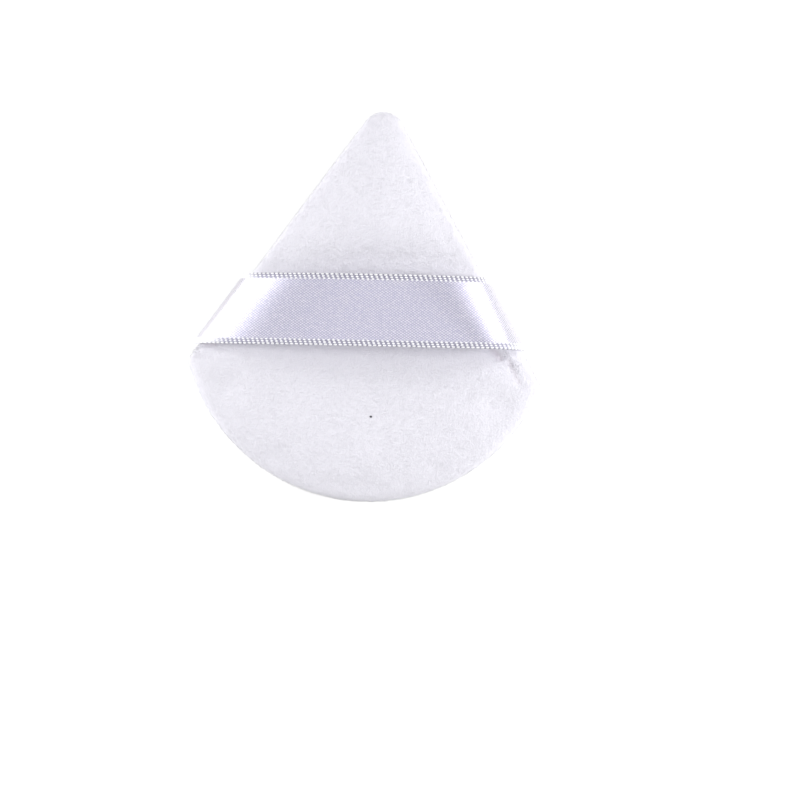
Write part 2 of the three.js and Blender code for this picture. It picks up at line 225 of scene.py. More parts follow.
class Wire:
    """A number in a node tree. Sums and products of wires add Math nodes."""

    def __init__(self, nodes, socket):
        self.nodes = nodes
        self.socket = socket

    def _join(self, operation, *values):
        node = self.nodes.add("ShaderNodeMath", {"operation": operation}, dict(enumerate(values)))
        return Wire(self.nodes, node.outputs[0])

    def __add__(self, other):
        return self._join("ADD", self, other)

    def __sub__(self, other):
        return self._join("SUBTRACT", self, other)

    def __mul__(self, other):
        return self._join("MULTIPLY", self, other)

    def __rsub__(self, other):
        return self._join("SUBTRACT", other, self)

    __radd__ = __add__
    __rmul__ = __mul__

    def at_least(self, other):
        return self._join("MAXIMUM", self, other)

    def at_most(self, other):
        return self._join("MINIMUM", self, other)

    def root(self):
        return self._join("SQRT", self)

    def sine(self):
        return self._join("SINE", self)

    def absolute(self):
        return self._join("ABSOLUTE", self)

    def smooth(self, low, high):
        node = self.nodes.add("ShaderNodeMapRange", {"interpolation_type": "SMOOTHSTEP"},
                              {"Value": self, "From Min": low, "From Max": high})
        return Wire(self.nodes, node.outputs["Result"])


class Nodes:
    """A node tree, emptied, and the one way to add nodes to it."""

    def __init__(self, tree):
        self.tree = tree
        tree.nodes.clear()

    def add(self, kind, settings, sockets):
        """Adds a node, sets its settings first, and then sets or links its sockets."""
        node = self.tree.nodes.new(kind)
        for key, value in settings.items():
            setattr(node, key, value)
        for key, value in sockets.items():
            self.plug(node.inputs[key], value)
        return node

    def plug(self, socket, value):
        if isinstance(value, Wire):
            value = value.socket
        if isinstance(value, bpy.types.NodeSocket):
            self.tree.links.new(value, socket)
        else:
            socket.default_value = value

    def lit_for_camera(self, seen, lit):
        """Mixes two shaders: what is seen, also in reflections, and what lights the object."""
        path = self.add("ShaderNodeLightPath", {}, {})
        camera, glossy, through = (Wire(self, path.outputs["Is %s Ray" % kind])
                                   for kind in ("Camera", "Glossy", "Transmission"))
        looking = camera.at_least(glossy).at_least(through)
        return self.add("ShaderNodeMixShader", {}, {0: looking, 1: lit.outputs[0], 2: seen.outputs[0]})


class Finish(Nodes):
    """One node material with a Principled surface."""

    def __init__(self, name, **constants):
        self.material = bpy.data.materials.new(name)
        self.material.use_nodes = True
        super().__init__(self.material.node_tree)
        self.surface = self.add("ShaderNodeBsdfPrincipled", {}, constants_to_sockets(constants))
        self.output = self.add("ShaderNodeOutputMaterial", {}, {"Surface": self.surface.outputs[0]})
        self.output.is_active_output = True

    def place(self):
        return self.add("ShaderNodeTexCoord", {}, {}).outputs["Object"]

    def attribute(self, name):
        node = self.add("ShaderNodeAttribute", {"attribute_name": name}, {})
        return node.outputs["Vector"]

    def stretch(self, vector, scale):
        node = self.add("ShaderNodeMapping", {}, {"Vector": vector, "Scale": scale})
        return node.outputs["Vector"]

    def noise(self, vector, size, detail=2.0):
        """Even noise around 0.5, whose spots are about the given size."""
        node = self.add("ShaderNodeTexNoise", {"noise_dimensions": "3D"},
                        {"Vector": vector, "Scale": 1 / size, "Detail": detail})
        return Wire(self, node.outputs["Fac"])

    def from_line(self, vector, start, end):
        """Distance in plan from a line between two points."""
        x, y, _ = self.split(vector)
        east, north = x - start[0], y - start[1]
        run = (end[0] - start[0], end[1] - start[1])
        square = run[0] ** 2 + run[1] ** 2
        share = (east * (run[0] / square) + north * (run[1] / square)).at_least(0.0).at_most(1.0)
        off = (east - share * run[0], north - share * run[1])
        return (off[0] * off[0] + off[1] * off[1]).root()

    def split(self, vector):
        node = self.add("ShaderNodeSeparateXYZ", {}, {"Vector": vector})
        return [Wire(self, output) for output in node.outputs]

    def mix(self, factor, low, high):
        node = self.add("ShaderNodeMix", {"data_type": "RGBA"}, {0: factor, 6: low, 7: high})
        return node.outputs[2]

    def bump(self, height, distance, strength):
        node = self.add("ShaderNodeBump", {}, {"Height": height, "Distance": distance, "Strength": strength})
        return node.outputs["Normal"]

    def set(self, socket, value):
        self.plug(self.surface.inputs[socket], value)

    def fibrous(self, fibre, colour, shade_share, depth):
        """Paints shade into the spaces between fibres, and makes them lower than the fibres."""
        self.set("Base Color", self.mix(fibre.smooth(0.3, 0.7), opaque(colour, shade_share), opaque(colour)))
        self.set("Normal", self.bump(fibre, depth, 0.5))

    def let_through(self, colour, share):
        """Lets some light through, as fibres and thin cloth do."""
        behind = self.add("ShaderNodeBsdfTranslucent", {}, {"Color": colour})
        mix = self.add("ShaderNodeMixShader", {},
                       {0: share, 1: self.surface.outputs[0], 2: behind.outputs[0]})
        self.plug(self.output.inputs["Surface"], mix.outputs[0])


def constants_to_sockets(constants):
    return {key.replace("_", " ").title(): value for key, value in constants.items()}


def opaque(colour, share=1.0):
    return (colour[0] * share, colour[1] * share, colour[2] * share, 1.0)


# Plan and section of the pad

# Insets, in millimetres, of the rows across the turned-in edge
SEAM_FACE = (2.8, 2.7, 1.9, 1.3, 1.2)
# Steps of the curves of a panel's section
LINING_STEPS = 10
ROLL_STEPS = 9
CROWN_STEPS = 60
# Rows of a panel's section that lie inside the pad
LINING_ROWS = LINING_STEPS + 1 + len(SEAM_FACE)
# Rows of the rolled edge, deep in the seam, that bear no pile
BARE_ROWS = 2


class Pad:
    """The pad's plan and section, worked out from its sizes."""

    def __init__(self, size):
        self.size = size
        half = size.length / 2
        self.tip = np.array([0.0, half - size.tip_radius])
        self.corner = np.array([size.width / 2 - size.corner_radius, size.base_depth - half])
        # The slanted side touches the tip's circle and the corner's circle
        run = self.corner - self.tip
        lean = (size.tip_radius - size.corner_radius) / np.hypot(*run)
        along = run / np.hypot(*run)
        across = np.array([-along[1], along[0]])
        self.side = across * math.sqrt(1 - lean * lean) + along * lean
        # The base arc touches both corner circles and the bottom of the outline
        bottom = half - size.corner_radius
        square = self.corner @ self.corner - bottom ** 2
        self.base = np.array([0.0, square / (2 * (bottom + self.corner[1]))])
        self.base_radius = self.base[1] + half
        self.side_reach = self.tip @ self.side + size.tip_radius
        # The heart lies as far from the bottom as from both slanted sides
        self.heart = np.array([0.0, (self.side_reach - half) / (1 + self.side[1])])
        self.heart_radius = self.heart[1] + half
        self.crown_reach = self.heart_radius * size.crown_reach

    def rim(self, spacing):
        """The outline, anticlockwise from the right corner."""
        side_turn = math.atan2(self.side[1], self.side[0])
        base_turn = math.atan2(self.corner[1] - self.base[1], self.corner[0])
        mirror = np.array([-1.0, 1.0])
        radius = self.size.corner_radius
        low = self.corner + self.side * radius
        high = self.tip + self.side * self.size.tip_radius
        return np.concatenate([
            arc(self.corner, radius, base_turn, side_turn, spacing / 2),
            line(low, high, spacing),
            arc(self.tip, self.size.tip_radius, side_turn, math.pi - side_turn, spacing),
            line(high * mirror, low * mirror, spacing),
            arc(self.corner * mirror, radius, math.pi - side_turn, math.pi - base_turn, spacing / 2),
            arc(self.base, self.base_radius, math.pi - base_turn, 2 * math.pi + base_turn, spacing),
        ])

    def ring(self, rim, inset):
        """The outline moved inwards, rounder the further in it lies."""
        spoke = rim - self.heart
        even = spoke / np.linalg.norm(spoke, axis=1)[:, None] * self.heart_radius
        depth = inset / self.heart_radius
        round_share = self.size.crown_rounding * depth
        return self.heart + (1 - depth) * (spoke * (1 - round_share) + even * round_share)

    def groove_rise(self, inset):
        """Height of the rolled edge over the seam, where it curves into the groove."""
        run = 1 - inset / self.size.groove_depth
        deep = self.size.roll_height - self.size.groove_gap / 2
        return self.size.roll_height - deep * math.sqrt(1 - run * run)

    def tuck(self, inset):
        """Depth of the tuck line near the edge of the face."""
        return self.size.tuck_depth * math.exp(-((inset - self.size.tuck_inset) / self.size.tuck_width) ** 2)

    def rows(self, crown, shaping):
        """Section of one panel: lining, seam face, rolled edge and crown, as inset and rise."""
        size = self.size
        seam = (size.seam_allowance, size.groove_gap / 2)
        inner = (self.crown_reach, crown - size.cloth)
        lining = quarter_curve(seam, inner, size.crown_power, LINING_STEPS)[::-1]
        lining += [(inset * MM, size.groove_gap / 2) for inset in SEAM_FACE]
        roll = []
        for step in range(ROLL_STEPS):
            inset = size.groove_depth * (1 - math.sin(QUARTER * step / ROLL_STEPS))
            roll.append((inset, self.groove_rise(inset)))
        edge = (0.0, size.roll_height)
        outside = quarter_curve(edge, (self.crown_reach, crown), size.crown_power, CROWN_STEPS)
        level = self.heart_radius - self.crown_reach
        count = max(2, round(level / size.spacing))
        top = [(self.crown_reach + level * step / count, crown) for step in range(1, count)]
        return lining + roll + [(inset, shaping(inset, rise)) for inset, rise in outside + top]


def arc(centre, radius, start, end, spacing):
    count = max(3, round(radius * abs(end - start) / spacing))
    turn = start + (end - start) * np.arange(count) / count
    return centre + radius * np.stack([np.cos(turn), np.sin(turn)], axis=1)


def line(start, end, spacing):
    count = max(2, round(np.hypot(*(end - start)) / spacing))
    share = (np.arange(count) / count)[:, None]
    return start * (1 - share) + end * share


def quarter_curve(start, end, power, steps):
    """A quarter of a superellipse, upright at its start and level at its end."""
    points = []
    for step in range(steps + 1):
        turn = QUARTER * step / steps
        run = 1 - max(math.cos(turn), 0.0) ** (2 / power)
        rise = math.sin(turn) ** (2 / power)
        points.append((start[0] + (end[0] - start[0]) * run, start[1] + (end[1] - start[1]) * rise))
    return points


# Meshes

def deselect():
    for item in bpy.context.selected_objects:
        item.select_set(False)


def new_object(name, vertices, faces):
    mesh = bpy.data.meshes.new(name)
    mesh.from_pydata([tuple(v) for v in vertices], [], faces)
    mesh.validate()
    piece = bpy.data.objects.new(name, mesh)
    bpy.context.scene.collection.objects.link(piece)
    pick(piece)
    bpy.ops.object.mode_set(mode="EDIT")
    bpy.ops.mesh.select_all(action="SELECT")
    bpy.ops.mesh.normals_make_consistent(inside=False)
    bpy.ops.object.mode_set(mode="OBJECT")
    bpy.ops.object.shade_smooth()
    return piece


def pick(piece):
    deselect()
    piece.select_set(True)
    bpy.context.view_layer.objects.active = piece


def apply_all(piece):
    pick(piece)
    for modifier in list(piece.modifiers):
        bpy.ops.object.modifier_apply(modifier=modifier.name)


def dress(piece, finish):
    piece.data.materials.clear()
    piece.data.materials.append(finish.material)


def seat(piece, slot, *nodes):
    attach(piece, "root")
    if nodes:
        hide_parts(*nodes)


def ring_mesh(name, rings, first, last):
    """Closed body over rows of rings, closed by one point at each end."""
    count = len(rings[0])
    vertices = [first] + [point for ring in rings for point in ring] + [last]
    top = len(vertices) - 1
    faces = []
    for i in range(count):
        j = (i + 1) % count
        faces.append((0, 1 + j, 1 + i))
        for row in range(len(rings) - 1):
            low = 1 + row * count
            faces.append((low + i, low + j, low + count + j, low + count + i))
        faces.append((top, top - count + i, top - count + j))
    return new_object(name, vertices, faces)


def read_points(piece):
    points = np.empty(len(piece.data.vertices) * 3)
    piece.data.vertices.foreach_get("co", points)
    return points.reshape(-1, 3)


def write_points(piece, points):
    piece.data.vertices.foreach_set("co", points.ravel())
    piece.data.update()


def outside_grid(piece, columns):
    """Points of the rolled edge and crown, in rows from the seam inwards."""
    return read_points(piece)[1:-1].reshape(-1, columns, 3)[LINING_ROWS + BARE_ROWS:]


def unit(vectors):
    return vectors / np.linalg.norm(vectors, axis=-1, keepdims=True)


# How far tufts stray from their lean, how steeply they rise at least, and how short they may be
STRAY = 0.16
LEAST_RISE = 0.1
SHORTEST_SHARE = 0.6
# What ruffling adds to the straying, rise, length and width of a tuft
RUFFLED_STRAY = 0.5
RUFFLED_RISE = 0.4
RUFFLED_LENGTH = 1.1
RUFFLED_WIDTH = 0.9
# How far tufts stay above the floor
FLOOR_ROOM = 0.01 * MM
# Turns of the three corners of a tuft's foot, and its faces: three sides and the foot
TUFT_TURNS = (0, 2 * math.pi / 3, 4 * math.pi / 3)
TUFT_FACES = np.array([(0, 1, 3), (1, 2, 3), (2, 0, 3), (0, 2, 1)])
# Side of the square that one tuft takes up in a baked picture
TUFT_SQUARE = 0.002
FACE_SEED = 5
BACK_SEED = 9


def tuft_roots(grid, direction, count, random):
    """Roots spread evenly over a grid that closes on itself, and the way out at each."""
    closed = np.concatenate([grid, grid[:, :1]], axis=1)
    a, b, c, d = closed[:-1, :-1], closed[1:, :-1], closed[1:, 1:], closed[:-1, 1:]
    cross = np.cross(c - a, d - b).reshape(-1, 3)
    area = np.linalg.norm(cross, axis=1)
    cross *= direction * np.sign(np.mean(cross[:, 2]))
    cell = random.choice(len(area), count, p=area / area.sum())
    u, v = random.random((2, count, 1))
    corner = [corner.reshape(-1, 3)[cell] for corner in (a, b, c, d)]
    root = (corner[0] * (1 - u) + corner[1] * u) * (1 - v) + (corner[3] * (1 - u) + corner[2] * u) * v
    return root, unit(cross[cell])


def pile_mesh(name, size, grid, direction, ribbon, seed):
    """Leaning tufts, each a small closed spike. Ruffled ones stand up, and pressed ones are short."""
    random = np.random.default_rng(seed)
    root, normal = tuft_roots(grid, direction, size.tufts, random)
    nap = np.array([0.0, -1.0, 0.0]) - normal * -normal[:, 1:2]
    stand = ruffle(root)[:, None] if ribbon else np.zeros((size.tufts, 1))
    axis = normal * math.cos(size.lean) + nap * math.sin(size.lean)
    axis += random.normal(0, 1, root.shape) * (STRAY + RUFFLED_STRAY * stand) + normal * RUFFLED_RISE * stand
    axis += normal * np.maximum(LEAST_RISE - np.sum(axis * normal, axis=1, keepdims=True), 0)
    axis = unit(axis)
    length = size.pile * random.uniform(SHORTEST_SHARE, 1.0, (size.tufts, 1)) * (1 + RUFFLED_LENGTH * stand)
    if ribbon:
        length *= ribbon.clearance(root)[:, None]
    side = unit(np.cross(axis, random.normal(0, 1, root.shape)))
    other = np.cross(axis, side)
    half = size.tuft * (1 + RUFFLED_WIDTH * stand)
    points = [root - normal * half + half * (side * math.cos(turn) + other * math.sin(turn))
              for turn in TUFT_TURNS]
    points.append(root + axis * length)
    points = np.stack(points, axis=1)
    points[..., 2] = np.maximum(points[..., 2], FLOOR_ROOM)
    middles = root[:, :2] / (2 * size.length) + 0.5
    return tuft_object(name, points, middles, unit(normal + side * stand))


def tuft_object(name, points, middles, shading):
    """One mesh of all tufts, each with a small square of the picture and its own shading."""
    count = len(points)
    faces = (4 * np.arange(count)[:, None, None] + TUFT_FACES).reshape(-1, 3)
    mesh = bpy.data.meshes.new(name)
    mesh.vertices.add(4 * count)
    mesh.vertices.foreach_set("co", points.ravel())
    mesh.loops.add(faces.size)
    mesh.loops.foreach_set("vertex_index", faces.ravel())
    mesh.polygons.add(len(faces))
    mesh.polygons.foreach_set("loop_start", np.arange(0, faces.size, 3))
    mesh.update(calc_edges=True)
    square = np.array([(0, 0), (1, 0), (0, 1), (1, 1)]) * TUFT_SQUARE
    uv = (middles[:, None] + square)[:, TUFT_FACES.ravel()].reshape(-1, 2)
    mesh.uv_layers.new(name="OFBake").uv.foreach_set("vector", uv.ravel())
    piece = bpy.data.objects.new(name, mesh)
    bpy.context.scene.collection.objects.link(piece)
    pick(piece)
    bpy.ops.object.shade_smooth()
    mesh.normals_split_custom_set_from_vertices(np.repeat(shading, 4, axis=0))
    return piece


def section_mesh(name, pad, rows, direction):
    """Closed body whose section, as inset and rise, is carried round the outline of the pad."""
    rim = pad.rim(pad.size.spacing)
    rings = []
    for inset, rise in rows:
        plan = pad.ring(rim, inset)
        height = np.full((len(plan), 1), pad.size.seam_height + direction * rise)
        rings.append(np.hstack([plan, height]))
    ends = [(*pad.heart, pad.size.seam_height + direction * rows[k][1]) for k in (0, -1)]
    return ring_mesh(name, rings, *ends)


# Cloth simulation of the filled pad

# The simulation is made for larger things, so the pad is enlarged for it
CLOTH_SCALE = 10
# Distance between points of the skin, and the step between the panel rows that it is made from
CLOTH_VOXEL = 1.6 * MM
SKIN_STRIDE = 4
CLOTH_FRAMES = 20
# The seam holds what lies less than this above or below it
HELD_HEIGHT = 1.3 * MM
# How many points of the skin one point of a panel follows
FOLLOWED = 10


def edge_share(size, inset):
    """From 0 at the edge of the pad to 1 where the seam no longer holds the cover back."""
    share = np.clip(np.asarray(inset) / size.edge_fade, 0.0, 1.0)
    return share * share * (3 - 2 * share)


def skin_rows(pad, crown, top, direction):
    """Coarse section of one side of the pad, slimmed for the simulation."""
    size = pad.size
    rows = pad.rows(crown, lambda inset, rise: min(rise, top))[LINING_ROWS::SKIN_STRIDE]
    return [(inset, direction * (rise - size.slimmer * float(edge_share(size, inset))))
            for inset, rise in rows]


def blown_skin(pad):
    """Swells a coarse skin of the whole pad as cloth. Returns its points, and how far each moved."""
    size = pad.size
    under = skin_rows(pad, size.face_crown, size.seam_height, -1)
    over = skin_rows(pad, size.back_crown, size.back_crown, 1)
    skin = section_mesh("pad_skin", pad, under[::-1] + over, 1)
    skin.data.transform(Matrix.Scale(CLOTH_SCALE, 4))
    skin.data.remesh_voxel_size = CLOTH_VOXEL * CLOTH_SCALE
    bpy.ops.object.voxel_remesh()
    before = read_points(skin)
    held = np.abs(before[:, 2] / CLOTH_SCALE - size.seam_height) < HELD_HEIGHT
    skin.vertex_groups.new(name="seam").add([int(k) for k in np.nonzero(held)[0]], 1.0, "REPLACE")
    filling = skin.modifiers.new("filling", "CLOTH")
    cloth = filling.settings
    cloth.quality = 6
    cloth.tension_stiffness = 60
    cloth.compression_stiffness = 60
    cloth.bending_stiffness = 5
    cloth.use_pressure = True
    cloth.uniform_pressure_force = 4
    cloth.vertex_group_mass = "seam"
    cloth.effector_weights.gravity = 0
    filling.collision_settings.use_collision = False
    filling.point_cache.frame_end = CLOTH_FRAMES
    for frame in range(1, CLOTH_FRAMES + 1):
        bpy.context.scene.frame_set(frame)
    apply_all(skin)
    after = read_points(skin)
    bpy.context.scene.frame_set(1)
    bpy.data.objects.remove(skin)
    return before / CLOTH_SCALE, (after - before) / CLOTH_SCALE


def followed_shift(points, places, shifts):
    """How far points move when they follow the nearest places of the skin."""
    tree = KDTree(len(places))
    for k, place in enumerate(places):
        tree.insert(place, k)
    tree.balance()
    moved = np.zeros((len(points), 3))
    for k, point in enumerate(points):
        near = tree.find_n(point, FOLLOWED)
        weights = np.array([math.exp(-(apart / CLOTH_VOXEL) ** 2) for _, _, apart in near]) + TINY
        moved[k] = weights @ shifts[[index for _, index, _ in near]] / weights.sum()
    return moved


def swell(piece, pad, rows, direction, skin):
    """Carries the skin's swelling to the outside of a panel, as far as its cap lets it."""
    size = pad.size
    points = read_points(piece)
    columns = (len(points) - 2) // len(rows)
    insets = np.array([inset for inset, _ in rows])
    share = edge_share(size, np.concatenate([insets[:1], np.repeat(insets, columns), insets[-1:]]))
    share[:1 + LINING_ROWS * columns] = 0.0
    outside = np.nonzero(share)[0]
    share = share[outside][:, None]
    slim = points[outside] - (0.0, 0.0, direction * size.slimmer) * share
    moved = followed_shift(slim, *skin)
    reach = np.linalg.norm(moved, axis=1, keepdims=True) + TINY
    points[outside] = slim + share * moved * size.swell * np.tanh(reach / size.swell) / reach
    points[:, 2] = np.maximum(points[:, 2], 0.0)
    write_points(piece, points)


# Velour

# Puckers beside the ribbon ends: start, end, half width and depth, in millimetres of the back's plan
PUCKERS = [
    ((21.8, -6.0), (24.4, -7.2), 0.7, 0.42),
    ((25.6, -7.9), (27.9, -11.9), 0.55, 0.13),
    ((-30.4, -9.2), (-26.5, -8.9), 0.6, 0.25),
]
# Where the pile is ruffled: middle and radius, in millimetres of the back's plan
RUFFLES = [((24.9, -7.2), 1.3), ((26.6, -8.6), 1.1), ((-30.1, -9.8), 1.3)]
# Lines of painted shade in the creases beside the ribbon ends, in millimetres of the back's plan: start, end,
# how far from the line the shade is full, how far off it has faded out, and how much of its colour is used
CREASE_SHADES = [
    ((22.6, -6.0), (23.9, -7.5), 0.0, 1.1, 0.3),
    ((25.6, -8.0), (27.7, -11.6), 0.0, 0.7, 0.2),
    ((-28.8, -9.0), (-27.0, -8.8), 0.0, 1.0, 0.28),
]
FLECK = ((1.75, -19.7), (1.85, -19.7), 0.1, 0.28, 1.0)
# Sizes of the spots in the velour's tone and relief
TUFT_SPOT = 0.32 * MM
STREAK_SPOT = 0.5 * MM
CLUMP_SPOT = 1.3 * MM
PATCH_SPOT = 11 * MM
NAP_RELIEF = 0.25 * MM
# The slot in the turned-in edge: room round the ribbon, its top and the top of the tack's pocket
SLOT_ROOM = 0.3 * MM
SLOT_TOP = 1.1 * MM
TACK_POCKET = 1.58 * MM


def pucker_depth(x, y):
    """How deep the back is drawn in at a place in its plan."""
    depth = 0.0
    for start, end, width, deep in PUCKERS:
        a, b = Vector(start) * MM, Vector(end) * MM
        run = b - a
        share = min(max((Vector((x, y)) - a).dot(run) / run.length_squared, 0.0), 1.0)
        off = (Vector((x, y)) - a - run * share).length
        depth += deep * MM * math.exp(-(off / (width * MM)) ** 2)
    return depth


def ruffle(points):
    """How far the pile stands up, from 0 to 1."""
    share = np.zeros(len(points))
    for middle, radius in RUFFLES:
        off = np.hypot(points[:, 0] - middle[0] * MM, points[:, 1] - middle[1] * MM)
        share = np.maximum(share, np.exp(-(off / (radius * MM)) ** 2))
    return share


def crease_shade_and_fleck(finish, place, colour, colours):
    """Adds painted shade in the creases beside the ribbon ends, and the speck of lint, to a colour."""
    for spots, mark_colour in ((CREASE_SHADES, colours.crease_shade), ([FLECK], colours.fleck)):
        for start, end, full, faded, share in spots:
            apart = finish.from_line(place, Vector(start) * MM, Vector(end) * MM)
            colour = finish.mix(apart.smooth(faded * MM, full * MM) * share, colour, opaque(mark_colour))
    return colour


def pile_finish(colours, marked=False):
    finish = Finish("pile", roughness=0.9, sheen_weight=0.6, sheen_roughness=0.6)
    place = finish.place()
    clump = finish.noise(place, CLUMP_SPOT, 3.0)
    colour = finish.mix(clump.smooth(0.3, 0.7), opaque(colours.velour), opaque(colours.velour, 1.04))
    if marked:
        colour = crease_shade_and_fleck(finish, place, colour, colours)
    finish.set("Base Color", colour)
    return finish


def velour_finish(colours, marked=False):
    finish = Finish("velour", roughness=0.92, sheen_weight=0.6, sheen_roughness=0.6)
    place = finish.place()
    tuft = finish.noise(place, TUFT_SPOT)
    clump = finish.noise(place, CLUMP_SPOT, 3.0)
    streak = finish.noise(finish.stretch(place, (1.0, 0.3, 1.0)), STREAK_SPOT)
    patch = finish.noise(place, PATCH_SPOT)
    nap = tuft * 0.45 + streak * 0.3 + clump * 0.25
    tone = nap.smooth(0.25, 0.75) * 0.5 + 0.42 + (patch - 0.5) * 0.15
    colour = finish.mix(tone, opaque(colours.velour_shade), opaque(colours.velour))
    if marked:
        colour = crease_shade_and_fleck(finish, place, colour, colours)
    finish.set("Base Color", colour)
    finish.set("Roughness", 0.86 + tuft * 0.12)
    finish.set("Normal", finish.bump(tuft * 0.6 + clump * 0.6 + streak * 0.4, NAP_RELIEF, 0.6))
    return finish


def shape_back(back, size, ribbon):
    """Presses in the puckers, and opens a slot with a tack pocket for each ribbon end."""
    points = read_points(back)
    rise = points[:, 2] - size.seam_height
    across, inset = ribbon.places(points)
    slot = (np.abs(across) < ribbon.size.width / 2 + SLOT_ROOM) & (inset < ribbon.size.caught + SLOT_ROOM)
    opened = np.where(inset > size.groove_depth, TACK_POCKET, SLOT_TOP)
    outside = rise > size.roll_height
    points[:, 2] = np.where(slot & ~outside, size.seam_height + np.maximum(rise, opened), points[:, 2])
    for k in np.nonzero(outside)[0]:
        points[k, 2] -= pucker_depth(points[k, 0], points[k, 1])
    write_points(back, points)


class PUFF_OT_velour(bpy.types.Operator):
    """Both velour panels, with rolled edges that meet in the seam groove"""
    bl_idname = "puff.velour"
    bl_label = "Velour Panels"

    def execute(self, context):
        size = context.scene.puff_pad
        pad = Pad(size)
        floor = size.seam_height
        face_rows = pad.rows(size.face_crown, lambda inset, rise: min(rise - pad.tuck(inset), floor))
        back_rows = pad.rows(size.back_crown, lambda inset, rise: rise)
        face = section_mesh("face_velour", pad, face_rows, -1)
        back = section_mesh("back_velour", pad, back_rows, 1)
        skin = blown_skin(pad)
        swell(face, pad, face_rows, -1, skin)
        swell(back, pad, back_rows, 1, skin)
        ribbon = Ribbon(pad, context.scene.puff_ribbon)
        shape_back(back, size, ribbon)
        colours = context.scene.puff_finishes
        dress(face, velour_finish(colours))
        dress(back, velour_finish(colours, marked=True))
        seat(face, "velour", "face_panel")
        seat(back, "velour", "back_panel")
        columns = len(pad.rim(size.spacing))
        face_pile = pile_mesh("face_pile", size, outside_grid(face, columns), -1, None, FACE_SEED)
        back_pile = pile_mesh("back_pile", size, outside_grid(back, columns), 1, ribbon, BACK_SEED)
        dress(face_pile, pile_finish(colours))
        dress(back_pile, pile_finish(colours, marked=True))
        seat(face_pile, "velour")
        seat(back_pile, "velour")
        return {"FINISHED"}


# Room between the sponge and the lining
CORE_ROOM = 0.3 * MM
CORE_STEPS = 14
CELL_SIZE = 0.6 * MM
CELL_RELIEF = 0.3 * MM


class PUFF_OT_core(bpy.types.Operator):
    """The sponge inside the pad"""
    bl_idname = "puff.core"
    bl_label = "Sponge Core"

    def execute(self, context):
        size = context.scene.puff_pad
        pad = Pad(size)
        edge = (size.seam_allowance + CORE_ROOM, 0.0)
        crowns = (size.face_crown, size.back_crown)
        tops = [(pad.crown_reach, crown - size.cloth - CORE_ROOM) for crown in crowns]
        under, over = (quarter_curve(edge, top, size.crown_power, CORE_STEPS) for top in tops)
        rows = [(inset, -rise) for inset, rise in under[::-1]] + over[1:]
        core = section_mesh("sponge_core", pad, rows, 1)
        finish = Finish("sponge", roughness=0.9)
        place = finish.place()
        cells = finish.add("ShaderNodeTexVoronoi", {"feature": "F1"},
                           {"Vector": place, "Scale": 1 / CELL_SIZE})
        # The pores are painted darker, as shade in them, and lie lower than the cell walls
        wall = Wire(finish, cells.outputs["Distance"]).smooth(0.2, 0.7)
        foam = context.scene.puff_finishes.foam
        finish.set("Base Color", finish.mix(wall, opaque(foam, 0.7), opaque(foam)))
        finish.set("Normal", finish.bump(wall, CELL_RELIEF, 0.8))
        dress(core, finish)
        seat(core, "foam", "foam_core")
        return {"FINISHED"}


# Ribbon

# Steps of the ribbon's caught end, bend, slope and level middle, and lines of points across it
CAUGHT_STEPS = 5
BEND_STEPS = 12
SLOPE_STEPS = 70
LEVEL_STEPS = 40
RIBBON_LINES = 25
# Beside its ends the ribbon presses the pile: this near its edges and this far inside the pad's edge,
# to this share of its length
PRESSED_MARGIN = 0.5 * MM
PRESSED_INSET = 2.2 * MM
PRESSED_SHARE = 0.35


class Ribbon:
    """The ribbon's middle surface, from seam to seam over the pad."""

    def __init__(self, pad, size):
        self.pad = pad
        self.size = size
        self.along = np.array([math.cos(size.skew), math.sin(size.skew)])
        self.across = np.array([-self.along[1], self.along[0]])
        self.centre = np.array([0.0, pad.size.length / 2 - size.from_tip])
        self.top = RIBBON_BOX[1].z - pad.size.seam_height - size.thickness / 2

    def end_rows(self, slack, reach, power):
        """Caught in the seam, bent round the rolled edge, then rising, as inset and rise."""
        size = self.size
        bend = self.pad.size.roll_height + size.bend_rise
        rows = [(size.caught + (size.mouth - size.caught) * step / CAUGHT_STEPS, size.seam_rise)
                for step in range(CAUGHT_STEPS)]
        for step in range(BEND_STEPS):
            turn = QUARTER * step / BEND_STEPS
            rows.append((size.mouth - (size.mouth + slack) * math.sin(turn),
                         bend - (bend - size.seam_rise) * math.cos(turn)))
        return rows + quarter_curve((-slack, bend), (reach, self.top), power, SLOPE_STEPS)

    def point(self, side, across, inset, rise):
        """Point inside one slanted side, some way across the ribbon and above the seam."""
        normal = self.pad.side * np.array([side, 1.0])
        start = self.centre + self.across * across
        run = (self.pad.side_reach - inset - start @ normal) / (self.along @ normal)
        return np.array([*(start + self.along * run), self.pad.size.seam_height + rise])

    def places(self, points):
        """How far points lie across the ribbon, and inside the nearer slanted side."""
        across = (points[:, :2] - self.centre) @ self.across
        side = self.pad.side
        return across, self.pad.side_reach - np.abs(points[:, 0]) * side[0] - points[:, 1] * side[1]

    def clearance(self, points):
        """Share of the pile's length that fits at these points: less beside the ribbon's ends."""
        across, inset = self.places(points)
        beside = (np.abs(across) < self.size.width / 2 + PRESSED_MARGIN) & (inset < PRESSED_INSET)
        return np.where(beside, PRESSED_SHARE, 1.0)

    def line(self, across):
        """Points along the whole ribbon, some way across it."""
        size = self.size
        share = across / size.width
        left_reach = size.left_reach - size.left_twist * share
        right_reach = size.right_reach - size.right_twist * share
        left_rows = self.end_rows(size.left_slack, left_reach, size.left_power)
        right_rows = self.end_rows(size.right_slack, right_reach, size.right_power)
        left = [self.point(-1, across, *row) for row in left_rows]
        right = [self.point(1, across, *row) for row in right_rows]
        level = [left[-1] + (right[-1] - left[-1]) * step / LEVEL_STEPS for step in range(1, LEVEL_STEPS)]
        return np.array(left + level + right[::-1])

    def grid(self, count):
        """Lines of points side by side across the ribbon."""
        shares = np.linspace(-0.5, 0.5, count)
        return np.array([self.line(self.size.width * share) for share in shares])


def run_lengths(points):
    steps = np.linalg.norm(np.diff(points, axis=0), axis=1)
    return np.concatenate([[0.0], np.cumsum(steps)])


